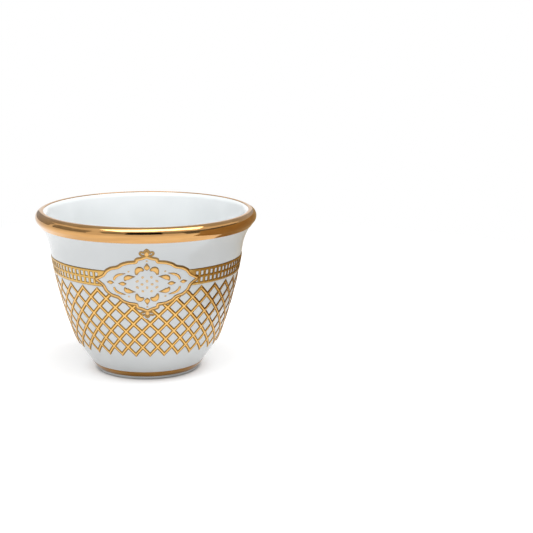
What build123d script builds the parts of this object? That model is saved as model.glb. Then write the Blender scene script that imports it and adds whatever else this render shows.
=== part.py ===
from build123d import *
import math
import os

# Form of the cup
rim_diameter = 67.5
cup_height = 50.0
lip_radius = 1.9
lip_overhang = 4.1
waist_diameter = rim_diameter - 2 * lip_overhang
flare_height = 11.5
wall_bulge = 0.83
wall_draw = 7.45
haunch_diameter = waist_diameter - 2 * wall_draw
haunch_height = 9.6
haunch_rounding = 15.0
foot_step = 6.1
foot_diameter = haunch_diameter - 2 * foot_step
foot_height = 0.85
foot_taper = 0.2

# Clay thickness, inside and underside
wall_thickness = 2.5
floor_thickness = 3.2
bowl_rounding = 11.0
recess_depth = 1.6
foot_ring_width = 2.2
foot_bevel = 0.25

# Gold laid on the glaze, on the lip and round the foot
gilt_thickness = 0.2
gilt_seat = 0.02
rim_gilt_drop = 4.1
rim_gilt_reach = 2.3
foot_gilt_low = 1.0
foot_gilt_width = 1.7

# Medallions, one on each third of the wall
medallion_count = 3
medallion_width = 30.3
medallion_rise = 7.6
medallion_fall = 9.5
frame_line = 0.65
finial_lobe = 0.85
flower_half_height = 6.2
flower_offset = 0.975

# Band between the medallions
band_drop = 1.9
band_height = 5.1

# Diamond net below the band, with its columns counted from one medallion to the next and its turn in degrees
trellis_columns = 11
trellis_rows = 4
trellis_gap = 1.1
trellis_line = 0.95
trellis_turn = 1.65

foot = foot_diameter / 2
rim = rim_diameter / 2
ring_outside = foot - foot_taper
ring_inside = ring_outside - foot_ring_width
floor_top = recess_depth + floor_thickness
haunch = Vector(haunch_diameter / 2, haunch_height)
waist = Vector(waist_diameter / 2, cup_height - flare_height)
lip = Vector(rim - lip_radius, cup_height - lip_radius)

# The wall follows one arc from haunch to waist
chord = waist - haunch
wall_arc_radius = (chord.length**2 / 4 + wall_bulge**2) / (2 * wall_bulge)
chord_normal = Vector(-chord.Y, chord.X).normalized()
wall_centre = (haunch + waist) * 0.5 + chord_normal * (wall_arc_radius - wall_bulge)
waist_normal = (waist - wall_centre).normalized()
waist_tangent = Vector(-waist_normal.Y, waist_normal.X)
inner_waist = waist - waist_normal * wall_thickness

# Heights of the ornament, counted down from the waist
band_top = waist.Y - band_drop
band_low = band_top - band_height
trellis_top = band_low - trellis_gap
medallion_height = (band_low + band_top) / 2 - frame_line / 2
medallion_top = medallion_height + medallion_rise
medallion_foot = medallion_height - medallion_fall
finial_reach = 3 * finial_lobe

# Round the cup, in degrees
front = -90
sector = 360 / medallion_count
column_pitch = sector / trellis_columns


def lip_arc(start, side):
    """Radius of the arc that leaves start along the waist's tangent, and where it meets the lip's circle."""
    gap = start - lip
    radius = (gap.length**2 - lip_radius**2) / (2 * (side * lip_radius - waist_normal.dot(gap)))
    centre = start + waist_normal * radius
    return radius, centre + (lip - centre) * (radius / (radius + side * lip_radius))


flare_radius, flare_end = lip_arc(waist, 1)
flare_centre = waist + waist_normal * flare_radius


def wall_at(height, inset=0.0):
    """Radius at a height of the wall's arc, or of the arc that lies inset behind it."""
    return wall_centre.X + math.sqrt((wall_arc_radius - inset) ** 2 - (height - wall_centre.Y) ** 2)


def outside_at(height):
    """Radius of the cup's outside at a height between the foot and the lip."""
    if height < haunch_height:
        return foot + (haunch.X - foot) * (height - foot_height) / (haunch_height - foot_height)
    if height < waist.Y:
        return wall_at(height)
    return flare_centre.X - math.sqrt(flare_radius**2 - (height - flare_centre.Y) ** 2)


def wall_curve(low, high, inset=0.0):
    """Spline that follows the wall's arc, or the arc behind it, between two of its points."""
    middle = (low.Y + high.Y) / 2
    tangents = [Vector(wall_centre.Y - end.Y, end.X - wall_centre.X) for end in (low, high)]
    return Spline(low, (wall_at(middle, inset), middle), high, tangents=tangents)


def clay_section():
    """Half section of the clay, radius across and height up."""
    inner_end = lip_arc(inner_waist, -1)[1]
    corner = Vector(wall_at(floor_top, wall_thickness), floor_top)
    underside = Polyline(
        (0, floor_top),
        (0, recess_depth),
        (ring_inside, recess_depth),
        (ring_inside, foot_bevel),
        (ring_inside + foot_bevel, 0),
        (ring_outside - foot_bevel, 0),
        (ring_outside, foot_bevel),
        (foot, foot_height),
        haunch,
    )
    edges = [
        underside,
        wall_curve(haunch, waist),
        TangentArc(waist, flare_end, tangent=waist_tangent),
        ThreePointArc(flare_end, lip + Vector(0, lip_radius), inner_end),
        TangentArc(inner_waist, inner_end, tangent=waist_tangent),
        wall_curve(corner, inner_waist, wall_thickness),
        Line(corner, (0, floor_top)),
    ]
    section = make_face(edges)
    section = fillet(section.vertices().sort_by_distance(haunch)[0], haunch_rounding)
    return fillet(section.vertices().sort_by_distance(corner)[0], bowl_rounding)


clay = clay_section()
gilt = offset(clay, gilt_thickness) - clay


def gilt_ring(low, high, inner_radius=0.0):
    """Gold all round the outside of the clay between two heights."""
    span = Pos(inner_radius + rim, (low + high) / 2) * Rectangle(2 * rim, high - low)
    outermost = (gilt & span).faces().sort_by(Axis.X)[-1]
    return revolve(Plane.XZ * outermost, Axis.Z)


def gilt_skin(heights):
    """Gold on the front third of the wall: flat facets, one to a trellis column, that touch the wall."""
    turn = math.radians(column_pitch)
    rise = max(high - low for low, high in zip(heights, heights[1:]))
    seat = gilt_seat + rise**2 / (8 * wall_arc_radius)
    start = math.radians(front - sector / 2)
    slices = []
    for height in heights:
        back = (outside_at(height) + seat) / math.cos(turn / 2)
        corners = [start + turn * column for column in range(trellis_columns + 1)]
        ring = [Vector(math.cos(corner), math.sin(corner)) for corner in corners]
        level = Vector(0, 0, height)
        outer = [point * (back + gilt_thickness) + level for point in ring]
        inner = [point * back + level for point in reversed(ring)]
        slices.append(make_face(Polyline(*outer, *inner, close=True)))
    return loft(slices, ruled=True)


def steps(low, high, count):
    return [low + (high - low) * step / count for step in range(count + 1)]


def through_wall(sketch, angle=front):
    """Prism of a sketch drawn as seen from outside, across and up, run out through the wall at an angle."""
    outward = Vector(math.cos(math.radians(angle)), math.sin(math.radians(angle)))
    face_on = Plane(origin=outward * ring_inside, x_dir=(-outward.Y, outward.X, 0), z_dir=outward)
    return extrude(face_on * sketch, rim, dir=outward)


def around(shape):
    """Copies of a front shape, one for each medallion."""
    return [shape.rotate(Axis.Z, sector * turn) for turn in range(medallion_count)]


def cartouche(margin):
    """Lobed outline of a medallion, a margin outside its middle line: two lobes and a step to a quarter."""
    quarter = [(1, 0), (0.833, 0.19), (0.78, 0.36), (0.69, 0.48), (0.552, 0.545), (0.48, 0.66)]
    quarter += [(0.36, 0.74), (0.2, 0.77), (0.2, 0.875), (0.1, 0.92), (0, 1)]
    half_width = medallion_width / 2
    upper = [(x * half_width, medallion_height + y * medallion_rise) for x, y in quarter]
    lower = [(x * half_width, medallion_height - y * medallion_fall) for x, y in quarter]
    right = upper[::-1] + lower[1:]
    left = [(-x, y) for x, y in right[-2:0:-1]]
    return offset(make_face(Polyline(*right, *left, close=True)), margin, kind=Kind.INTERSECTION)


def finial(tip, up):
    """Trefoil that stands on the medallion's top, or hangs from its foot."""
    lobes = [(0, 1.9), (1.5, 1.2), (-1.5, 1.2)]
    lobe = RegularPolygon(finial_lobe, 8)
    trefoil = [Pos(x * finial_lobe, tip + up * y * finial_lobe) * lobe for x, y in lobes]
    stem = Pos(0, tip + up * finial_lobe) * Rectangle(finial_lobe, 2 * finial_lobe)
    return Sketch() + trefoil + stem


frame_region = cartouche(frame_line / 2) + finial(medallion_top, 1) + finial(medallion_foot, -1)
medallion_cut = through_wall(frame_region)


def medallion_frame():
    heights = steps(medallion_foot - finial_reach, medallion_top + finial_reach, 6)
    return gilt_skin(heights) & through_wall(frame_region - cartouche(-frame_line / 2))


def petal(*corners):
    """Flat petal with a few corners, in shares of the flower's half size, laid on the wall at its middle."""
    across = medallion_width / 2
    middle = medallion_height - flower_offset
    points = [Vector(x * across, middle + y * flower_half_height) for x, y in corners]
    centre = sum(points, Vector()) * (1 / len(points))
    radius = outside_at(centre.Y)
    turn = math.radians(front) + math.asin(centre.X / radius)
    lean = outside_at(centre.Y + gilt_thickness) - outside_at(centre.Y - gilt_thickness)
    seat = Vector((radius + gilt_seat) * math.cos(turn), (radius + gilt_seat) * math.sin(turn), centre.Y)
    normal = Vector(math.cos(turn), math.sin(turn), -lean / (2 * gilt_thickness))
    on_wall = Plane(origin=seat, x_dir=(-math.sin(turn), math.cos(turn), 0), z_dir=normal)
    outline = Polyline(*[point - centre for point in points], close=True)
    return extrude(on_wall * make_face(outline), gilt_thickness, dir=normal)


def medallion_petals():
    """Two buds and eight curled petals round the middle of the medallion."""
    bud = [(0, 0.66), (0.05, 0.83), (0, 1), (-0.05, 0.83)]
    upright = [(0.08, 0.69), (0.13, 0.81), (0.2, 0.82), (0.235, 0.68)]
    upright += [(0.218, 0.45), (0.19, 0.6), (0.14, 0.67)]
    sideways = [(0.25, 0.4), (0.34, 0.46), (0.43, 0.42), (0.455, 0.3)]
    sideways += [(0.4, 0.14), (0.36, 0.26), (0.33, 0.34)]
    solids = []
    for up in (1, -1):
        solids.append(petal(*[(x, up * y) for x, y in bud]))
        for side in (1, -1):
            solids += [petal(*[(side * x, up * y) for x, y in curl]) for curl in (upright, sideways)]
    return Compound(solids)


def grid_band():
    """Strip of gold from one medallion's side to the next."""
    beside = [medallion_cut.rotate(Axis.Z, turn * sector / 2) for turn in (1, -1)]
    return (gilt_skin([band_low, band_top]) - beside).rotate(Axis.Z, sector / 2)


def trellis():
    """Net of crossed lines with a zigzag edge above and below, cut back round the medallions."""
    half_height = (trellis_top - haunch_height) / (2 * trellis_rows)
    windows = []
    for level in range(2 * trellis_rows + 1):
        height = haunch_height + level * half_height
        half_width = wall_at(height) * math.tan(math.radians(column_pitch / 2))
        to_line = half_width * half_height / math.hypot(half_width, half_height)
        share = 1 - trellis_line / 2 / to_line
        corners = [(0, share), (share, 0), (0, -share), (-share, 0)]
        if level == 0:
            corners = [(0, share), (1 + share, -1), (-1 - share, -1)]
        if level == 2 * trellis_rows:
            corners = [(0, -share), (1 + share, 1), (-1 - share, 1)]
        points = [(x * half_width, height + y * half_height) for x, y in corners]
        window = make_face(Polyline(*points, close=True))
        for column in range(trellis_columns + 1 - level % 2):
            turn = (column - (trellis_columns - level % 2) / 2) * column_pitch
            windows.append(through_wall(window, front + turn))
    heights = [haunch_height - trellis_line, *steps(haunch_height, trellis_top + trellis_line, 2)]
    third = gilt_skin(heights) - windows - medallion_cut.rotate(Axis.Z, -trellis_turn)
    net = (Part() + around(third)).solids().sort_by(SortBy.VOLUME)[-1]
    return net.rotate(Axis.Z, trellis_turn)


pieces = {
    "porcelain_body": revolve(Plane.XZ * clay, Axis.Z),
    "rim_gilding": gilt_ring(cup_height - rim_gilt_drop, cup_height + lip_radius, rim - rim_gilt_reach),
    "foot_gilding": gilt_ring(foot_gilt_low, foot_gilt_low + foot_gilt_width),
    "trellis": trellis(),
}
repeated = {
    "grid_band": grid_band(),
    "medallion_frame": medallion_frame(),
    "medallion_petals": medallion_petals(),
}
for name, shape in repeated.items():
    for number, copy in enumerate(around(shape), 1):
        pieces[f"{name}_{number}"] = copy

os.makedirs("parts", exist_ok=True)
for name, shape in pieces.items():
    export_step(shape, f"parts/{name}.step")
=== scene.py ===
import math

import bmesh
import bpy
from mathutils import Matrix, Vector


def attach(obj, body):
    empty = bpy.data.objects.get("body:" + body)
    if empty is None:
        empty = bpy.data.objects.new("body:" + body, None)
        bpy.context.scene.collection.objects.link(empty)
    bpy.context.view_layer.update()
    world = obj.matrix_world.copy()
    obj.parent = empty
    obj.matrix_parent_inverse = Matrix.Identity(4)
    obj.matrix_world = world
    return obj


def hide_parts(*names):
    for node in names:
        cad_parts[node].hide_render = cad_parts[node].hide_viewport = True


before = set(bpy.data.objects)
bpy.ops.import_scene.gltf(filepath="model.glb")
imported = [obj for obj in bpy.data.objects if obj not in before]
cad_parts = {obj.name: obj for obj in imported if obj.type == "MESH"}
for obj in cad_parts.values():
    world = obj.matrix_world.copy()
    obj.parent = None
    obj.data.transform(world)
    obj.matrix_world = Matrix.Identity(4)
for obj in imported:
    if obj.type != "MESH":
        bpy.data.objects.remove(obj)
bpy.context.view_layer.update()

# The pieces are modelled in millimetres and degrees, and brought to metres as they are added
MM = 0.001

# Form of the cup
rim_diameter = 67.5
cup_height = 50.0
lip_radius = 1.9
lip_overhang = 4.1
flare_height = 11.5
wall_bulge = 0.83
wall_draw = 7.45
haunch_height = 9.6
haunch_rounding = 15.0
foot_step = 6.1
foot_height = 0.85
foot_taper = 0.2
foot_rounding = 0.35
wall_thickness = 2.5
floor_thickness = 3.2
bowl_rounding = 11.0
recess_depth = 1.6
recess_rounding = 0.5
foot_ring_width = 2.2
foot_bevel = 0.4

# Steps that the turned surfaces and their roundings are made in
lathe_steps = 256
haunch_steps = 10
wall_steps = 36
flare_steps = 20
lip_steps = 14
inner_flare_steps = 14
bowl_wall_steps = 24
bowl_floor_steps = 16
edge_steps = 4
gilt_flare_steps = 10
gilt_lip_steps = 26
gilt_edge_steps = 3

# Gold laid on the glaze
gilt_thickness = 0.2
gilt_seat = 0.05
gilt_edge_angle = 60
rim_gilt_thickness = 0.19
rim_gilt_low = 45.65
rim_gilt_end = 102.0
foot_gilt_thickness = 0.06
foot_gilt_low = 1.0
foot_gilt_high = 2.7

# Medallions
medallion_count = 3
medallion_width = 30.3
medallion_rise = 7.6
medallion_fall = 9.5
medallion_height = 33.725
medallion_top = medallion_height + medallion_rise
medallion_foot = medallion_height - medallion_fall
flower_height = 32.75
frame_rounding = 0.5
frame_rounding_steps = 3
trim_margin = 0.33
finial_bed_radius = 1.3
finial_bed_drop = 1.0
finial_bed_sides = 24
hanging_finial_share = 0.9
low_relief = 0.09

# Band and net between and below the medallions
band_low = 31.5
band_top = 36.6
window_pitch = 3.49
window_width = 0.82
window_rows = ((32.4, 33.65), (34.45, 35.7))
window_columns = 18
band_end = 1.7
trellis_columns = 11
trellis_rows = 4
trellis_top = 30.4
trellis_turn = 1.65
strand_cuts = 3

# Vertices that lie nearer to each other than this are joined
corner_weld = 0.05
net_weld = 0.01
relief_weld = 0.004
seam_weld = 0.002
lathe_weld = 0.001
stroke_weld = 0.0005

# Faces that meet at more than this are shaded with a sharp edge
crease_angle = 50

foot = rim_diameter / 2 - lip_overhang - wall_draw - foot_step
ring_outside = foot - foot_taper
ring_inside = ring_outside - foot_ring_width
floor_top = recess_depth + floor_thickness
waist = Vector((rim_diameter / 2 - lip_overhang, cup_height - flare_height))
haunch = Vector((waist.x - wall_draw, haunch_height))
foot_corner = Vector((foot, foot_height))
lip = Vector((rim_diameter / 2 - lip_radius, cup_height - lip_radius))

chord = waist - haunch
wall_arc_radius = (chord.length**2 / 4 + wall_bulge**2) / (2 * wall_bulge)
chord_normal = Vector((-chord.y, chord.x)).normalized()
wall_centre = (haunch + waist) / 2 + chord_normal * (wall_arc_radius - wall_bulge)
waist_normal = (waist - wall_centre).normalized()
inner_waist = waist - waist_normal * wall_thickness


def lip_arc(start, side):
    """Centre of the arc that leaves the wall at start, and the point where it meets the lip."""
    gap = start - lip
    reach = 2 * (side * lip_radius - waist_normal.dot(gap))
    radius = (gap.length_squared - lip_radius**2) / reach
    centre = start + waist_normal * radius
    return centre, centre + (lip - centre) * (radius / (radius + side * lip_radius))


def rounding_on_line(start, along, inward, radius, arc_radius):
    """Centre of a rounding between a straight run and the wall's arc, and its two end points."""
    offset = start + inward * radius - wall_centre
    reach = arc_radius - radius
    run = along.dot(offset)
    root = math.sqrt(run**2 - offset.length_squared + reach**2)
    centre = wall_centre + offset + along * (root - run)
    on_arc = wall_centre + (centre - wall_centre).normalized() * arc_radius
    return centre, centre - inward * radius, on_arc


flare_centre, flare_end = lip_arc(waist, 1)
flare_radius = (waist - flare_centre).length
inner_flare_centre, inner_lip_end = lip_arc(inner_waist, -1)
slope = (haunch - foot_corner).normalized()
slope_inward = Vector((-slope.y, slope.x))
haunch_centre, haunch_start, haunch_end = rounding_on_line(
    foot_corner, slope, slope_inward, haunch_rounding, wall_arc_radius
)
bowl_centre, bowl_start, bowl_end = rounding_on_line(
    Vector((0, floor_top)),
    Vector((1, 0)),
    Vector((0, 1)),
    bowl_rounding,
    wall_arc_radius - wall_thickness,
)


def on_circle(centre, radius, height, side):
    return centre.x + side * math.sqrt(radius**2 - (height - centre.y) ** 2)


def wall_radius(height):
    """Radius of the cup's outside at a height between the foot's corner and the lip."""
    if height < haunch_start.y:
        return foot + (height - foot_height) * slope.x / slope.y
    if height < haunch_end.y:
        return on_circle(haunch_centre, haunch_rounding, height, 1)
    if height < waist.y:
        return on_circle(wall_centre, wall_arc_radius, height, 1)
    return on_circle(flare_centre, flare_radius, height, -1)


# Round the cup, with the front at -Y and each medallion in the middle of its sector
front = math.radians(-90)
sector = 2 * math.pi / medallion_count
unrolled_radius = 28.0
sector_width = unrolled_radius * sector


def verts_of(geometry):
    return [part for part in geometry if isinstance(part, bmesh.types.BMVert)]


def put_in_scene(name, data):
    thing = bpy.data.objects.new(name, data)
    bpy.context.scene.collection.objects.link(thing)
    return thing


def mesh_in_scene(name, bm):
    mesh = bpy.data.meshes.new(name)
    bm.to_mesh(mesh)
    return put_in_scene(name, mesh)


class Profile:
    """Line drawn across the cup's half section with a pen, radius across and height up."""

    def __init__(self, radius, height):
        self.bm = bmesh.new()
        self.tip = self.bm.verts.new((radius, 0, height))

    def line(self, radius, height):
        made = bmesh.ops.extrude_vert_indiv(self.bm, verts=[self.tip])
        self.tip = made["verts"][0]
        self.tip.co = (radius, 0, height)
        return self.tip

    def arc(self, centre, end, steps):
        here = Vector((self.tip.co.x, self.tip.co.z)) - centre
        there = Vector(end) - centre
        angle = math.atan2(here.y, here.x) - math.atan2(there.y, there.x)
        angle = (angle + math.pi) % (2 * math.pi) - math.pi
        made = bmesh.ops.spin(
            self.bm,
            geom=[self.tip],
            cent=(centre.x, 0, centre.y),
            axis=(0, 1, 0),
            angle=angle,
            steps=steps,
        )
        self.tip = verts_of(made["geom_last"])[0]

    def round_off(self, corners, radius):
        bmesh.ops.bevel(
            self.bm,
            geom=corners,
            offset=radius,
            offset_type="OFFSET",
            segments=edge_steps,
            profile=0.5,
            affect="VERTICES",
            material=-1,
        )

    def turn(self):
        """The line turned once round the cup's axis."""
        bmesh.ops.spin(
            self.bm,
            geom=self.bm.verts[:] + self.bm.edges[:],
            cent=(0, 0, 0),
            axis=(0, 0, 1),
            angle=2 * math.pi,
            steps=lathe_steps,
            use_merge=True,
        )
        bmesh.ops.remove_doubles(self.bm, verts=self.bm.verts, dist=lathe_weld)
        bmesh.ops.recalc_face_normals(self.bm, faces=self.bm.faces)
        return self.bm


def clay():
    """The whole cup, from the middle of its underside over the lip to the middle of the bowl."""
    line = Profile(0, recess_depth)
    recess = line.line(ring_inside, recess_depth)
    inner = line.line(ring_inside, 0)
    outer = line.line(ring_outside, 0)
    corner = line.line(*foot_corner)
    line.line(*haunch_start)
    line.arc(haunch_centre, haunch_end, haunch_steps)
    line.arc(wall_centre, waist, wall_steps)
    line.arc(flare_centre, flare_end, flare_steps)
    line.arc(lip, lip + Vector((0, lip_radius)), lip_steps)
    line.arc(lip, inner_lip_end, lip_steps)
    line.arc(inner_flare_centre, inner_waist, inner_flare_steps)
    line.arc(wall_centre, bowl_end, bowl_wall_steps)
    line.arc(bowl_centre, bowl_start, bowl_floor_steps)
    line.line(bowl_start.x / 2, floor_top)
    line.line(0, floor_top)
    line.round_off([recess], recess_rounding)
    line.round_off([inner, outer], foot_bevel)
    line.round_off([corner], foot_rounding)
    return line.turn()


def gild(line, thickness):
    """Gold skin on the surface that a line turned round the cup gives, with rounded edges."""
    bm = line.turn()
    outermost = max(bm.faces, key=lambda face: face.calc_center_median().xy.length)
    if outermost.normal.xy.dot(outermost.calc_center_median().xy) < 0:
        bmesh.ops.reverse_faces(bm, faces=bm.faces)
    bm.normal_update()
    under = {vert: vert.normal.copy() for vert in bm.verts}
    made = bmesh.ops.extrude_face_region(bm, geom=bm.faces[:], use_keep_orig=True)
    skin = verts_of(made["geom"])
    for vert in skin:
        vert.co += vert.normal * thickness
    for vert, outward in under.items():
        vert.co -= outward * gilt_seat
    bmesh.ops.recalc_face_normals(bm, faces=bm.faces)
    sharp = math.radians(gilt_edge_angle)
    skin_edges = {edge for vert in skin for edge in vert.link_edges}
    rims = [edge for edge in skin_edges if edge.is_manifold and edge.calc_face_angle() > sharp]
    bmesh.ops.bevel(
        bm,
        geom=rims,
        offset=thickness / 2,
        segments=gilt_edge_steps,
        profile=0.5,
        affect="EDGES",
        material=-1,
    )
    return bm


def rim_gold():
    """From the flare up over the lip's crest to just inside it."""
    line = Profile(wall_radius(rim_gilt_low), rim_gilt_low)
    line.arc(flare_centre, flare_end, gilt_flare_steps)
    end = math.radians(rim_gilt_end)
    line.arc(lip, lip + lip_radius * Vector((math.cos(end), math.sin(end))), gilt_lip_steps)
    return gild(line, rim_gilt_thickness)


def foot_gold():
    line = Profile(wall_radius(foot_gilt_low), foot_gilt_low)
    line.line(wall_radius(foot_gilt_high), foot_gilt_high)
    return gild(line, foot_gilt_thickness)


# Ornament is modelled flat, along the wall, up it and out from it, and then laid on the wall
wall_probe = 0.05
knife_reach = 1


def seen(x, height):
    """Flat place of a point that is x to the right of a medallion's middle, seen from in front."""
    return unrolled_radius * math.asin(x / wall_radius(height)), height


def mark_crown(bm):
    """Notes on each vertex how near it comes to the full height of the gold, which sets the raised
    gold's painted shade and highlight.
    """
    crown = bm.verts.layers.float.new("crown")
    for vert in bm.verts:
        vert[crown] = max(0.0, min(1.0, vert.co.z / gilt_thickness))


def lay_on_wall(bm, turn=0.0):
    for vert in bm.verts:
        along, height, relief = vert.co
        angle = front + turn + along / unrolled_radius
        lean = wall_radius(height + wall_probe) - wall_radius(height - wall_probe)
        normal = Vector((1, -lean / (2 * wall_probe))).normalized()
        radius = wall_radius(height) + relief * normal.x
        vert.co = (radius * math.cos(angle), radius * math.sin(angle), height + relief * normal.y)
    return bm


def close_under(bm):
    """Gives a flat relief its sides and an underside that sits in the glaze."""
    made = bmesh.ops.extrude_face_region(bm, geom=bm.faces[:], use_keep_orig=True)
    for vert in verts_of(made["geom"]):
        vert.co.z = -gilt_seat
    bmesh.ops.recalc_face_normals(bm, faces=bm.faces)


# A quarter of the frame's middle line, from its side point to its top, in shares of its half size
cartouche_quarter = (
    (1, 0),
    (0.915, 0.085),
    (0.833, 0.19),
    (0.78, 0.36),
    (0.69, 0.48),
    (0.552, 0.545),
    (0.48, 0.66),
    (0.36, 0.74),
    (0.2, 0.77),
    (0.2, 0.875),
    (0.1, 0.92),
    (0, 1),
)


def cartouche(bm):
    """Lobed middle line of a medallion's frame as one flat face."""
    half = medallion_width / 2
    upper = [(x * half, medallion_height + y * medallion_rise) for x, y in cartouche_quarter]
    lower = [(x * half, medallion_height - y * medallion_fall) for x, y in cartouche_quarter]
    right = upper[::-1] + lower[1:]
    left = [(-x, y) for x, y in right[-2:0:-1]]
    face = bm.faces.new([bm.verts.new((*seen(x, y), 0)) for x, y in right + left])
    if face.normal.z < 0:
        face.normal_flip()
    bmesh.ops.bevel(
        bm,
        geom=list(face.verts),
        offset=frame_rounding,
        offset_type="OFFSET",
        segments=frame_rounding_steps,
        profile=0.5,
        affect="VERTICES",
        material=-1,
        clamp_overlap=True,
    )
    bmesh.ops.remove_doubles(bm, verts=bm.verts, dist=corner_weld)
    return max(bm.faces, key=lambda each: each.calc_area())


def finial_bed(bm):
    """Round bed that a lower finial hangs in as one flat face."""
    place = Matrix.Translation((0, medallion_foot - finial_bed_drop, 0))
    bmesh.ops.create_circle(
        bm, cap_ends=True, segments=finial_bed_sides, radius=finial_bed_radius, matrix=place
    )
    return max(bm.faces, key=lambda each: each.calc_area())


def trim(bm, places, cut_out):
    """Cuts a shape, set at each of the places along the wall, out of a flat relief."""
    cutter = bmesh.new()
    face = cut_out(cutter)
    outset = bmesh.ops.inset_individual(
        cutter, faces=[face], thickness=-trim_margin, use_even_offset=True
    )
    bmesh.ops.delete(cutter, geom=outset["faces"], context="FACES")
    made = bmesh.ops.extrude_face_region(cutter, geom=[face], use_keep_orig=True)
    raised = verts_of(made["geom"])
    bmesh.ops.translate(cutter, verts=cutter.verts, vec=(0, 0, -knife_reach))
    bmesh.ops.translate(cutter, verts=raised, vec=(0, 0, 2 * knife_reach))
    bmesh.ops.recalc_face_normals(cutter, faces=cutter.faces)
    relief = mesh_in_scene("untrimmed", bm)
    knives = []
    for place in places:
        knife = mesh_in_scene("medallion_knife", cutter)
        knife.location.x = place
        cut = relief.modifiers.new("medallion", "BOOLEAN")
        cut.operation = "DIFFERENCE"
        cut.solver = "EXACT"
        cut.object = knife
        knives.append(knife)
    depsgraph = bpy.context.evaluated_depsgraph_get()
    trimmed = bpy.data.meshes.new_from_object(relief.evaluated_get(depsgraph))
    bm.clear()
    bm.from_mesh(trimmed)
    bpy.data.meshes.remove(trimmed)
    for spare in (relief, *knives):
        mesh = spare.data
        bpy.data.objects.remove(spare)
        bpy.data.meshes.remove(mesh)
    cutter.free()


# Steps out and in from the frame's middle line, each with the height it comes to
frame_height = 0.19
frame_outward = ((-0.06, 0.18), (-0.08, 0.1), (-0.36, 0.07), (-0.12, 0.03))
frame_inward = ((0.28, 0.2), (0.12, 0.12), (0.12, 0.03))


def medallion_frame():
    bm = bmesh.new()
    outward = cartouche(bm)
    for vert in bm.verts:
        vert.co.z = frame_height
    made = bmesh.ops.duplicate(bm, geom=[outward, *outward.edges, *outward.verts])
    inward = [part for part in made["geom"] if isinstance(part, bmesh.types.BMFace)][0]
    for face, steps in ((outward, frame_outward), (inward, frame_inward)):
        for step, height in steps:
            bmesh.ops.inset_individual(bm, faces=[face], thickness=step, use_even_offset=True)
            for vert in face.verts:
                vert.co.z = height
    bmesh.ops.delete(bm, geom=[outward, inward], context="FACES_ONLY")
    bmesh.ops.remove_doubles(bm, verts=bm.verts, dist=relief_weld)
    close_under(bm)
    return bm


# Steps from a strand's ridge to its edge, each with the height it comes to
strand_steps = ((0.12, 0.19), (0.12, 0.12), (0.34, 0.03))
strand_edge_height = strand_steps[-1][1]
half_strand = sum(step for step, _ in strand_steps)

# The net is made of cells, in columns to both sides of a medallion's middle
half_column = sector_width / trellis_columns / 2
half_row = (trellis_top - haunch_height) / (2 * trellis_rows)
strand_point = half_strand * math.hypot(half_column, half_row) / half_column
net_reach = trellis_columns // 2
net_columns = range(-net_reach, net_reach + 1)

# Slack with which what lies outside the net, its upright faces, ridges and ends are told apart
outside_slack = 0.1
upright_slack = 0.01
ridge_slack = 0.005
seam_slack = 0.2


def net_cells(bm):
    """Diamonds of a third of the net and the notches along its two edges, as flat faces."""
    diamond = Matrix.Diagonal((half_column, half_row, 1, 1))
    for level in range(1, 2 * trellis_rows):
        shift = 0 if level % 2 else -0.5
        for column in net_columns:
            middle = ((column + shift) * 2 * half_column, haunch_height + level * half_row, 0)
            place = Matrix.Translation(middle) @ diamond
            bmesh.ops.create_circle(bm, cap_ends=True, segments=4, radius=1, matrix=place)
    for edge, up in ((haunch_height, 1), (trellis_top, -1)):
        for column in net_columns:
            middle = (column - 0.5) * 2 * half_column
            left = middle - half_column
            right = middle + half_column
            beyond = edge - up * strand_point
            notch = [(left, beyond), (left, edge), (middle, edge + up * half_row)]
            notch += [(right, edge), (right, beyond)]
            face = bm.faces.new([bm.verts.new((*corner, 0)) for corner in notch])
            if up > 0:
                face.normal_flip()
    bmesh.ops.remove_doubles(bm, verts=bm.verts, dist=net_weld)


def open_seams(bm):
    """Takes off the upright faces where one third of the net meets the next."""
    bm.normal_update()
    seam = []
    for face in bm.faces:
        upright = abs(face.normal.z) < upright_slack
        to_ridge = max(vert.co.z for vert in face.verts) > gilt_thickness - ridge_slack
        at_end = abs(face.calc_center_median().x) > (net_reach - seam_slack) * 2 * half_column
        if upright and to_ridge and at_end:
            seam.append(face)
    bmesh.ops.delete(bm, geom=seam, context="FACES")


def trellis():
    """Net of crossed strands with a pointed edge above and below, cut back round the medallions."""
    bm = bmesh.new()
    net_cells(bm)
    strands = []
    for edge in bm.edges:
        if abs(edge.verts[0].co.y - edge.verts[1].co.y) > half_row / 2:
            strands.append(edge)
    bmesh.ops.bisect_edges(bm, edges=strands, cuts=strand_cuts)
    for vert in bm.verts:
        below = vert.co.y < haunch_height - strand_point / 2
        above = vert.co.y > trellis_top + strand_point / 2
        vert.co.z = strand_edge_height if below or above else gilt_thickness
    cells = bm.faces[:]
    for step, height in strand_steps:
        bmesh.ops.inset_individual(bm, faces=cells, thickness=step, use_even_offset=True)
        for cell in cells:
            for vert in cell.verts:
                vert.co.z = height
    spare = list(cells)
    for face in bm.faces:
        across = [vert.co.x for vert in face.verts]
        height = face.calc_center_median().y
        outside = height < haunch_height - outside_slack or height > trellis_top + outside_slack
        if outside and max(across) - min(across) > half_column:
            spare.append(face)
    bmesh.ops.delete(bm, geom=list(set(spare)), context="FACES")
    bmesh.ops.remove_doubles(bm, verts=bm.verts, dist=relief_weld)
    close_under(bm)
    turn = math.radians(trellis_turn)
    for cut_out in (cartouche, finial_bed):
        trim(bm, [-turn * unrolled_radius], cut_out)
    open_seams(bm)
    mark_crown(bm)
    third = bm.verts[:] + bm.edges[:] + bm.faces[:]
    for place in range(1, medallion_count):
        made = bmesh.ops.duplicate(bm, geom=third)
        copied = verts_of(made["geom"])
        bmesh.ops.translate(bm, verts=copied, vec=(place * sector_width, 0, 0))
    lay_on_wall(bm, turn)
    bmesh.ops.remove_doubles(bm, verts=bm.verts, dist=seam_weld)
    bmesh.ops.recalc_face_normals(bm, faces=bm.faces)
    return bm


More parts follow.
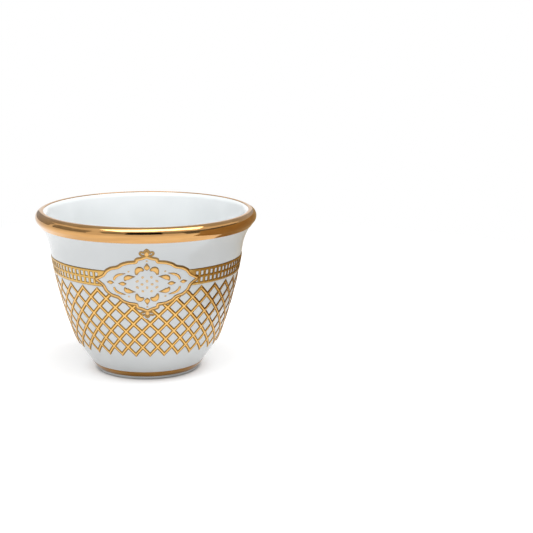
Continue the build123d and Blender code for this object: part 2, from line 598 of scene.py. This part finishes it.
# How far a bar's shoulder runs in from its edge, and the height of the edge
bar_shoulder = 0.26
bar_edge_height = 0.04
grid_digits = 4


def grid_band():
    """Strip with two rows of small upright windows from one medallion to the next."""
    bm = bmesh.new()
    pitch = unrolled_radius * math.radians(window_pitch)
    half_window = window_width / 2 * unrolled_radius / wall_radius((band_low + band_top) / 2)
    middle = (window_columns - 1) / 2
    end = (middle + band_end) * pitch
    across = [-end]
    for column in range(window_columns):
        window = (column - middle) * pitch
        across += [window - half_window, window + half_window]
    across.append(end)
    up = [band_low, *window_rows[0], *window_rows[1], band_top]
    bmesh.ops.create_grid(bm, x_segments=len(across) - 1, y_segments=len(up) - 1, size=1)
    columns = sorted({round(vert.co.x, grid_digits) for vert in bm.verts})
    rows = sorted({round(vert.co.y, grid_digits) for vert in bm.verts})
    for vert in bm.verts:
        column = min(range(len(columns)), key=lambda each: abs(columns[each] - vert.co.x))
        row = min(range(len(rows)), key=lambda each: abs(rows[each] - vert.co.y))
        vert.co = (across[column], up[row], bar_edge_height)
    windows = []
    for face in bm.faces:
        centre = face.calc_center_median()
        in_row = any(low < centre.y < high for low, high in window_rows)
        in_column = abs((centre.x / pitch + middle) % 1 - 0.5) > 0.5 - half_window / pitch
        if in_row and in_column and abs(centre.x) < (middle + 0.5) * pitch:
            windows.append(face)
    bmesh.ops.delete(bm, geom=windows, context="FACES")
    bmesh.ops.inset_region(
        bm,
        faces=bm.faces[:],
        thickness=bar_shoulder,
        depth=gilt_thickness - bar_edge_height,
        use_boundary=True,
        use_even_offset=True,
    )
    close_under(bm)
    trim(bm, [-sector_width / 2, sector_width / 2], cartouche)
    mark_crown(bm)
    return bm


# Strokes are round in section until their upper half is pressed to the height of the gold
stroke_roundness = 3
stroke_steps = 5
stroke_order = 3
stroke_fullness = 0.4
stroke_edge_height = 0.01
stroke_level = 0.001


def stroke_mesh(stroke):
    """Tube drawn through a stroke's points, each given across, up and with its half width."""
    curve = bpy.data.curves.new("stroke", "CURVE")
    curve.dimensions = "3D"
    curve.bevel_depth = 1.0
    curve.bevel_resolution = stroke_roundness
    curve.resolution_u = stroke_steps
    curve.use_fill_caps = True
    spline = curve.splines.new("NURBS")
    spline.points.add(len(stroke) - 1)
    for point, (x, height, half_width) in zip(spline.points, stroke):
        point.co = (*seen(x, height), 0, 1)
        point.radius = half_width
    spline.order_u = stroke_order
    spline.use_endpoint_u = True
    holder = put_in_scene("stroke", curve)
    depsgraph = bpy.context.evaluated_depsgraph_get()
    mesh = bpy.data.meshes.new_from_object(holder.evaluated_get(depsgraph))
    bpy.data.objects.remove(holder)
    bpy.data.curves.remove(curve)
    return mesh


def brush(strokes, relief=gilt_thickness):
    """Raised strokes of gold, full along the middle and low at their edges."""
    bm = bmesh.new()
    for stroke in strokes:
        mesh = stroke_mesh(stroke)
        widest = max(half_width for _, _, half_width in stroke)
        before = set(bm.verts)
        bm.from_mesh(mesh)
        bpy.data.meshes.remove(mesh)
        for vert in set(bm.verts) - before:
            swell = 1 - math.exp(-(vert.co.z**2) / (stroke_fullness * widest**2))
            raised = vert.co.z > stroke_level
            vert.co.z = relief * swell + stroke_edge_height if raised else -gilt_seat
    bmesh.ops.remove_doubles(bm, verts=bm.verts, dist=stroke_weld)
    bmesh.ops.recalc_face_normals(bm, faces=bm.faces)
    return bm


def mirrored(strokes, sides=(1, -1), ups=(1, -1)):
    """Copies of strokes drawn about the flower's middle, to its sides and above and below it."""
    made = []
    for side in sides:
        for up in ups:
            for stroke in strokes:
                made.append([(side * x, flower_height + up * y, width) for x, y, width in stroke])
    return made


def medallion_petals():
    bud = [(0, 6.6, 0.05), (0, 5.8, 0.6), (0, 5.1, 1.0), (0, 4.6, 0.65), (0, 4.2, 0.06)]
    upright = [(0.95, 4.15, 0.3), (1.45, 4.6, 0.7), (2.45, 4.7, 0.95)]
    upright += [(3.0, 3.8, 0.7), (3.05, 2.9, 0.34)]
    sideways = [(3.3, 2.4, 0.06), (4.6, 2.3, 0.6), (5.8, 2.05, 0.9)]
    sideways += [(6.35, 1.5, 0.6), (6.4, 0.95, 0.2)]
    return brush(mirrored([bud], sides=(1,)) + mirrored([upright, sideways]))


def medallion_scrolls():
    """Curved stems that close the flower in on both sides, and the pointed leaves by them."""
    scroll = [(9.6, 1.1, 0.32), (9.4, 1.95, 0.42), (8.5, 2.7, 0.42)]
    scroll += [(7.4, 3.05, 0.36), (6.2, 3.3, 0.1)]
    leaf = [(5.9, 0.1, 0.06), (6.7, 0.1, 0.7), (7.5, 0.1, 0.62), (8.4, 0.1, 0.06)]
    outer_leaf = [(9.6, 0.35, 0.08), (10.3, 0.35, 0.62), (10.9, 0.35, 0.62), (11.7, 0.35, 0.08)]
    return brush(mirrored([scroll]) + mirrored([leaf, outer_leaf], ups=(1,)))


seed_half_length = 0.45
seed_half_width = 0.6
seed_tilt = 35
dot_half_length = 0.3
dot_half_width = 0.45


def dash(x, y, tilt=0, half_length=dot_half_length, half_width=dot_half_width):
    """Short stroke about a point of the flower, tilted from the level."""
    reach = Vector((math.cos(math.radians(tilt)), math.sin(math.radians(tilt)))) * half_length
    tip_width = half_width / 3
    return [
        (x - reach.x, flower_height + y - reach.y, tip_width),
        (x, flower_height + y, half_width),
        (x + reach.x, flower_height + y + reach.y, tip_width),
    ]


def seed(x, y, tilt, half_length=seed_half_length):
    return dash(x, y, tilt, half_length, seed_half_width)


def medallion_seeds():
    """Four seeds set crosswise in the flower, eight round them, and single dots outside it."""
    strokes = [seed(0, 1.0, 90), seed(0, -1.0, 90)]
    for side in (1, -1):
        strokes.append(seed(side * 1.47, 0, 0))
        for up in (1, -1):
            tilt = side * up * -seed_tilt
            strokes.append(seed(side * 1.27, up * 2.15, tilt, half_length=0.4))
            strokes.append(seed(side * 2.83, up * 0.95, tilt, half_length=0.5))
            strokes.append(dash(side * 5.3, up * 3.9))
    strokes += [dash(0, 7.15), dash(0, -7.15)]
    return brush(strokes, low_relief)


def finials():
    """Bulbs, and the outlined trefoils round them, on the medallion's top and under its foot."""
    bulb = [(0, -0.1, 0.35), (0, 0.5, 0.8), (0, 1.2, 0.6), (0, 2.1, 0.06)]
    lobe = [(0, 2.3, 0.34), (0.45, 1.9, 0.36), (0.75, 1.4, 0.34), (0.45, 0.9, 0.25)]
    arch = [(-x, y, width) for x, y, width in lobe[::-1]] + lobe
    curl = [(0.5, 0.4, 0.2), (0.95, 0.35, 0.3), (1.5, 0.4, 0.36), (1.95, 0.75, 0.38)]
    curl += [(1.9, 1.3, 0.38), (1.45, 1.5, 0.38), (1.05, 1.3, 0.34), (0.95, 0.9, 0.25)]
    other_curl = [(-x, y, width) for x, y, width in curl]
    reliefs = []
    for strokes, relief in (([bulb], gilt_thickness), ([arch, curl, other_curl], low_relief)):
        placed = []
        for tip, up in ((medallion_top, 1), (medallion_foot, -hanging_finial_share)):
            placed += [[(x, tip + up * y, width) for x, y, width in stroke] for stroke in strokes]
        reliefs.append(brush(placed, relief))
    return reliefs


# Finishes, from here on in metres
def grey(value):
    return (value, value, value)


# Each ramp's places, with the colour or the roughness there
glaze_tones = ((0.3, (0.77, 0.795, 0.80)), (0.7, (0.83, 0.85, 0.855)))
glaze_gloss = ((0.3, grey(0.09)), (0.7, grey(0.16)))
clay_tones = ((0.25, (0.60, 0.58, 0.54)), (0.75, (0.70, 0.68, 0.64)))
burnished_gloss = ((0.3, grey(0.05)), (0.75, grey(0.11)))
raised_gloss = ((0.3, grey(0.24)), (0.7, grey(0.38)))
burnished_places = (0.3, 0.7)
# Places on the raised gold's ramp by height, from painted shade at the edges to a painted highlight
# at the crown
painted_shade_places = (0.1, 0.4, 0.68, 0.93)

# The foot ring is bare up to the first height and glazed from the second
bare_below = 0.22 * MM
glazed_above = 0.34 * MM
bare_roughness = 0.85
glaze_ior = 1.52

# How much finer the brush's streaks are up the cup than round it, and how far grain shifts a tone
streak_squeeze = (1, 1, 9)
grain_wander = 0.16

# Sockets of a Mix node, which share their names
VALUE_A, VALUE_B, VALUE_OUT = 2, 3, 0
COLOUR_A, COLOUR_B, COLOUR_OUT = 6, 7, 2


def finish_material(name):
    material = bpy.data.materials.new(name)
    material.use_nodes = True
    nodes = material.node_tree.nodes
    return material, nodes, material.node_tree.links, nodes["Principled BSDF"]


def add_ramp(nodes, stops):
    ramp = nodes.new("ShaderNodeValToRGB")
    points = ramp.color_ramp.elements
    while len(points) < len(stops):
        points.new(0.5)
    for point, (place, colour) in zip(points, stops):
        point.position = place
        point.color = (*colour, 1)
    return ramp


def add_noise(nodes, links, coordinates, scale, detail=3.0):
    noise = nodes.new("ShaderNodeTexNoise")
    noise.inputs["Scale"].default_value = scale
    noise.inputs["Detail"].default_value = detail
    links.new(coordinates, noise.inputs["Vector"])
    return noise.outputs["Fac"]


def add_bump(nodes, links, height, shader, strength, distance):
    bump = nodes.new("ShaderNodeBump")
    bump.inputs["Strength"].default_value = strength
    bump.inputs["Distance"].default_value = distance
    links.new(height, bump.inputs["Height"])
    links.new(bump.outputs["Normal"], shader.inputs["Normal"])


def glazed_porcelain():
    """White glaze with faint clouding and a slow ripple, bare and matt under the foot ring."""
    material, nodes, links, shader = finish_material("glazed_porcelain")
    place = nodes.new("ShaderNodeTexCoord").outputs["Object"]
    cloud = add_ramp(nodes, glaze_tones)
    links.new(add_noise(nodes, links, place, scale=60), cloud.inputs["Fac"])
    axes = nodes.new("ShaderNodeSeparateXYZ")
    links.new(place, axes.inputs["Vector"])
    bare = nodes.new("ShaderNodeMapRange")
    bare.inputs["From Min"].default_value = bare_below
    bare.inputs["From Max"].default_value = glazed_above
    bare.inputs["To Min"].default_value = 1
    bare.inputs["To Max"].default_value = 0
    links.new(axes.outputs["Z"], bare.inputs["Value"])
    clay_tone = add_ramp(nodes, clay_tones)
    links.new(add_noise(nodes, links, place, scale=1800), clay_tone.inputs["Fac"])
    tone = nodes.new("ShaderNodeMix")
    tone.data_type = "RGBA"
    links.new(bare.outputs["Result"], tone.inputs["Factor"])
    links.new(cloud.outputs["Color"], tone.inputs[COLOUR_A])
    links.new(clay_tone.outputs["Color"], tone.inputs[COLOUR_B])
    links.new(tone.outputs[COLOUR_OUT], shader.inputs["Base Color"])
    gloss = add_ramp(nodes, glaze_gloss)
    links.new(add_noise(nodes, links, place, scale=160), gloss.inputs["Fac"])
    rough = nodes.new("ShaderNodeMix")
    links.new(bare.outputs["Result"], rough.inputs["Factor"])
    links.new(gloss.outputs["Color"], rough.inputs[VALUE_A])
    rough.inputs[VALUE_B].default_value = bare_roughness
    links.new(rough.outputs[VALUE_OUT], shader.inputs["Roughness"])
    shader.inputs["IOR"].default_value = glaze_ior
    ripple = add_noise(nodes, links, place, scale=45, detail=1.0)
    add_bump(nodes, links, ripple, shader, strength=0.12, distance=0.001)
    return material


def burnished_gold(name, *tones):
    """Bright gold of the lip, and of the foot darkened as painted shade, brushed on, with faint
    streaks round the cup.
    """
    material, nodes, links, shader = finish_material(name)
    place = nodes.new("ShaderNodeTexCoord").outputs["Object"]
    along = nodes.new("ShaderNodeMapping")
    along.inputs["Scale"].default_value = streak_squeeze
    links.new(place, along.inputs["Vector"])
    streaks = add_noise(nodes, links, along.outputs["Vector"], scale=140, detail=4.0)
    tone = add_ramp(nodes, list(zip(burnished_places, tones)))
    links.new(streaks, tone.inputs["Fac"])
    links.new(tone.outputs["Color"], shader.inputs["Base Color"])
    gloss = add_ramp(nodes, burnished_gloss)
    links.new(streaks, gloss.inputs["Fac"])
    links.new(gloss.outputs["Color"], shader.inputs["Roughness"])
    shader.inputs["Metallic"].default_value = 1.0
    add_bump(nodes, links, streaks, shader, strength=0.06, distance=0.0004)
    return material


def raised_gold(name, *tones):
    """Gold laid in relief, darker towards its thin edges as painted shade and brightest at its crown
    as a painted highlight.
    """
    material, nodes, links, shader = finish_material(name)
    place = nodes.new("ShaderNodeTexCoord").outputs["Object"]
    crown = nodes.new("ShaderNodeAttribute")
    crown.attribute_name = "crown"
    grain = add_noise(nodes, links, place, scale=900)
    wander = nodes.new("ShaderNodeMath")
    wander.operation = "MULTIPLY_ADD"
    wander.inputs[1].default_value = grain_wander
    wander.inputs[2].default_value = -grain_wander / 2
    links.new(grain, wander.inputs[0])
    level = nodes.new("ShaderNodeMath")
    links.new(crown.outputs["Fac"], level.inputs[0])
    links.new(wander.outputs["Value"], level.inputs[1])
    tone = add_ramp(nodes, list(zip(painted_shade_places, tones)))
    links.new(level.outputs["Value"], tone.inputs["Fac"])
    links.new(tone.outputs["Color"], shader.inputs["Base Color"])
    gloss = add_ramp(nodes, raised_gloss)
    links.new(grain, gloss.inputs["Fac"])
    links.new(gloss.outputs["Color"], shader.inputs["Roughness"])
    shader.inputs["Metallic"].default_value = 1.0
    add_bump(nodes, links, grain, shader, strength=0.1, distance=0.0003)
    return material


porcelain = glazed_porcelain()
rim_finish = burnished_gold("lip_gold", (0.55, 0.295, 0.108), (0.63, 0.36, 0.142))
# The foot's gold is a darker copy of the lip's gold, painted shade where the foot meets the floor
painted_shade_foot_finish = burnished_gold("foot_gold", (0.29, 0.135, 0.027), (0.41, 0.208, 0.055))
# Raised gold tones from the thin edges to the crown: dark edges are painted shade and the bright
# crown is a painted highlight; the seeds' tones are nearly even
net_finish = raised_gold(
    "net_gold", (0.15, 0.075, 0.010), (0.25, 0.13, 0.018), (0.42, 0.23, 0.045), (0.80, 0.48, 0.165)
)
band_finish = raised_gold(
    "band_gold", (0.15, 0.085, 0.012), (0.24, 0.135, 0.020), (0.36, 0.205, 0.038), (0.60, 0.37, 0.115)
)
flower_finish = raised_gold(
    "flower_gold", (0.28, 0.20, 0.15), (0.28, 0.17, 0.06), (0.62, 0.365, 0.125), (0.69, 0.41, 0.145)
)
seed_finish = raised_gold(
    "seed_gold", (0.60, 0.43, 0.27), (0.58, 0.40, 0.21), (0.64, 0.42, 0.19), (0.68, 0.44, 0.20)
)


def add_piece(name, bm, material, slot, *replaced):
    for face in bm.faces:
        face.smooth = True
    bmesh.ops.scale(bm, vec=(MM, MM, MM), verts=bm.verts)
    piece = mesh_in_scene(name, bm)
    bm.free()
    piece.data.set_sharp_from_angle(angle=math.radians(crease_angle))
    piece.data.materials.append(material)
    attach(piece, "root")
    if replaced:
        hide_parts(*replaced)
    return piece


add_piece("glazed_cup", clay(), porcelain, "porcelain", "porcelain_body")
add_piece("gilt_rim", rim_gold(), rim_finish, "gold", "rim_gilding")
add_piece("gilt_foot", foot_gold(), painted_shade_foot_finish, "gold", "foot_gilding")
add_piece("gilt_trellis", trellis(), net_finish, "gold", "trellis")

band = grid_band()
lobed_frame = medallion_frame()
bulbs, trefoils = finials()
petals = medallion_petals()
scrolls = medallion_scrolls()
seeds = medallion_seeds()
for flat in (lobed_frame, bulbs, trefoils, petals, scrolls, seeds):
    mark_crown(flat)
for number in range(1, medallion_count + 1):
    turn = sector * (number - 1)
    between = lay_on_wall(band.copy(), turn + sector / 2)
    add_piece(f"gilt_band_{number}", between, band_finish, "gold", f"grid_band_{number}")
    border = lay_on_wall(lobed_frame.copy(), turn)
    add_piece(f"gilt_frame_{number}", border, flower_finish, "gold", f"medallion_frame_{number}")
    add_piece(f"gilt_finials_{number}", lay_on_wall(trefoils.copy(), turn), flower_finish, "gold")
    add_piece(f"gilt_bulbs_{number}", lay_on_wall(bulbs.copy(), turn), flower_finish, "gold")
    blossom = lay_on_wall(petals.copy(), turn)
    add_piece(f"gilt_petals_{number}", blossom, flower_finish, "gold", f"medallion_petals_{number}")
    add_piece(f"gilt_scrolls_{number}", lay_on_wall(scrolls.copy(), turn), flower_finish, "gold")
    add_piece(f"gilt_seeds_{number}", lay_on_wall(seeds.copy(), turn), seed_finish, "gold")


# Studio. The floor's glow sets in beside the foot and its white further out, each between two
# distances from the cup's axis
floor_half_size = 15
floor_squares = 8
floor_tone = 0.71
floor_glow = 0.43
# Without glow close round the foot, a ring of floor there shows darker: partly the real contact
# shadow, partly painted shade
glow_from = 0.0155
glow_full = 0.017
white_from = 0.09
white_full = 0.25
matt_roughness = 0.9
room_colour = (0.97, 0.985, 1.0)
room_light = 0.54
white = (1, 1, 1)

# Camera that was fitted to the photograph
camera_lens = 91.70
camera_sensor = 36
camera_place = (0.00151, -0.41406, 0.12370)
camera_ahead = Vector((0.0840, 0.9726, -0.2172)).normalized()
camera_roll = math.radians(-0.362)


def seen_as_background(nodes):
    """One where the camera, a reflection or a refraction looks, and nought for other light."""
    path = nodes.new("ShaderNodeLightPath")
    total = path.outputs["Is Camera Ray"]
    links = nodes.id_data.links
    for ray in ("Is Glossy Ray", "Is Transmission Ray"):
        either = nodes.new("ShaderNodeMath")
        either.operation = "MAXIMUM"
        links.new(total, either.inputs[0])
        links.new(path.outputs[ray], either.inputs[1])
        total = either.outputs["Value"]
    return total


def matt_material(name, tone):
    material, nodes, links, shader = finish_material(name)
    shader.inputs["Base Color"].default_value = (*tone, 1)
    shader.inputs["Roughness"].default_value = matt_roughness
    shader.inputs["Specular IOR Level"].default_value = 0.0
    return material, nodes, links, shader


def add_range(nodes, links, value, start, end, full=1.0):
    """Rises from nought at the start to its full value at the end."""
    rise = nodes.new("ShaderNodeMapRange")
    rise.inputs["From Min"].default_value = start
    rise.inputs["From Max"].default_value = end
    rise.inputs["To Max"].default_value = full
    links.new(value, rise.inputs["Value"])
    return rise.outputs["Result"]


def add_product(nodes, links, first, second):
    product = nodes.new("ShaderNodeMath")
    product.operation = "MULTIPLY"
    links.new(first, product.inputs[0])
    links.new(second, product.inputs[1])
    return product.outputs["Value"]


def add_floor():
    bm = bmesh.new()
    bmesh.ops.create_grid(
        bm, x_segments=floor_squares, y_segments=floor_squares, size=floor_half_size
    )
    floor = mesh_in_scene("floor", bm)
    bm.free()
    material, nodes, links, shader = matt_material("pale_floor", grey(floor_tone))
    background = seen_as_background(nodes)
    length = nodes.new("ShaderNodeVectorMath")
    length.operation = "LENGTH"
    links.new(nodes.new("ShaderNodeTexCoord").outputs["Object"], length.inputs[0])
    distance = length.outputs["Value"]
    # Glow withheld beside the foot, painted contact shade on top of the real shadow
    clear_of_foot = add_range(nodes, links, distance, glow_from, glow_full, floor_glow)
    shader.inputs["Emission Color"].default_value = (*white, 1)
    glow = add_product(nodes, links, background, clear_of_foot)
    links.new(glow, shader.inputs["Emission Strength"])
    far = add_range(nodes, links, distance, white_from, white_full)
    backdrop = nodes.new("ShaderNodeEmission")
    backdrop.inputs["Color"].default_value = (*white, 1)
    mix = nodes.new("ShaderNodeMixShader")
    links.new(add_product(nodes, links, far, background), mix.inputs["Fac"])
    links.new(shader.outputs["BSDF"], mix.inputs[1])
    links.new(backdrop.outputs["Emission"], mix.inputs[2])
    links.new(mix.outputs["Shader"], nodes["Material Output"].inputs["Surface"])
    floor.data.materials.append(material)


def add_world():
    world = bpy.data.worlds.new("studio")
    bpy.context.scene.world = world
    world.use_nodes = True
    nodes = world.node_tree.nodes
    links = world.node_tree.links
    soft = nodes["Background"]
    soft.inputs["Color"].default_value = (*room_colour, 1)
    soft.inputs["Strength"].default_value = room_light
    backdrop = nodes.new("ShaderNodeBackground")
    backdrop.inputs["Color"].default_value = (*white, 1)
    backdrop.inputs["Strength"].default_value = 1.0
    mix = nodes.new("ShaderNodeMixShader")
    links.new(seen_as_background(nodes), mix.inputs["Fac"])
    links.new(soft.outputs["Background"], mix.inputs[1])
    links.new(backdrop.outputs["Background"], mix.inputs[2])
    links.new(mix.outputs["Shader"], nodes["World Output"].inputs["Surface"])


def aimed(place, aim):
    """Turn of something that faces along its own -Z and looks from its place at its aim."""
    return (Vector(aim) - Vector(place)).to_track_quat("-Z", "Y")


def add_light(name, place, aim, size, power):
    light = bpy.data.lights.new(name, "AREA")
    light.shape = "RECTANGLE"
    light.size, light.size_y = size
    light.energy = power
    lamp = put_in_scene(name, light)
    lamp.location = place
    lamp.rotation_euler = aimed(place, aim).to_euler()


def add_card(name, place, aim, size, tone, flag=False):
    """Card that shows in reflections, and that keeps light off the cup if it is a flag."""
    bm = bmesh.new()
    bmesh.ops.create_grid(bm, x_segments=1, y_segments=1, size=0.5)
    bmesh.ops.scale(bm, vec=(*size, 1), verts=bm.verts)
    turned = Matrix.Translation(place) @ aimed(place, aim).to_matrix().to_4x4()
    bmesh.ops.transform(bm, matrix=turned, verts=bm.verts)
    card = mesh_in_scene(name, bm)
    bm.free()
    card.data.materials.append(matt_material(f"{name}_cloth", tone)[0])
    card.visible_camera = False
    card.visible_diffuse = flag
    card.visible_shadow = flag


def add_camera():
    camera = bpy.data.cameras.new("camera")
    camera.lens = camera_lens
    camera.sensor_width = camera_sensor
    right = camera_ahead.cross(Vector((0, 0, 1))).normalized()
    down = camera_ahead.cross(right)
    level = math.cos(camera_roll) * right + math.sin(camera_roll) * down
    upright = math.sin(camera_roll) * right - math.cos(camera_roll) * down
    turned = Matrix((level, upright, -camera_ahead)).transposed().to_4x4()
    stand = put_in_scene("camera", camera)
    stand.matrix_world = Matrix.Translation(camera_place) @ turned
    bpy.context.scene.camera = stand


add_floor()
add_world()
cup_middle = (0, 0, 0.03)
add_light("top_softbox", (0.06, -0.18, 0.90), cup_middle, size=(1.1, 0.5), power=9.0)

# Cards with their place, aim, width and height, and tone
card_aim = (0, 0, 0.05)
add_card("camera_shade", (-0.03, -0.62, 0.34), (-0.03, 0, 0.34), (0.42, 0.39), grey(0.01))
add_card("right_shade", (0.4, -0.12, 0.14), (0, 0, 0.06), (0.6, 0.28), grey(0.2), flag=True)
add_card("left_shade", (-0.55, -0.05, 0.2), card_aim, (0.5, 0.35), grey(0.45))
add_card("front_wall", (0.0, -0.9, 0.55), card_aim, (2.0, 0.6), grey(0.6))
add_card("left_screen", (-0.45, 0.55, 0.24), card_aim, (0.7, 0.38), grey(0.5))
add_card("right_screen", (0.45, 0.55, 0.24), card_aim, (0.7, 0.38), grey(0.6))
add_card("back_ceiling", (0.0, 0.5, 0.75), card_aim, (1.6, 0.9), grey(0.75))
add_card("low_card", (0.052, 0.045, 0.030), (0, 0.045, 0.030), (0.20, 0.058), (0.60, 0.44, 0.22))
add_camera()

bpy.context.scene.view_settings.view_transform = "Standard"
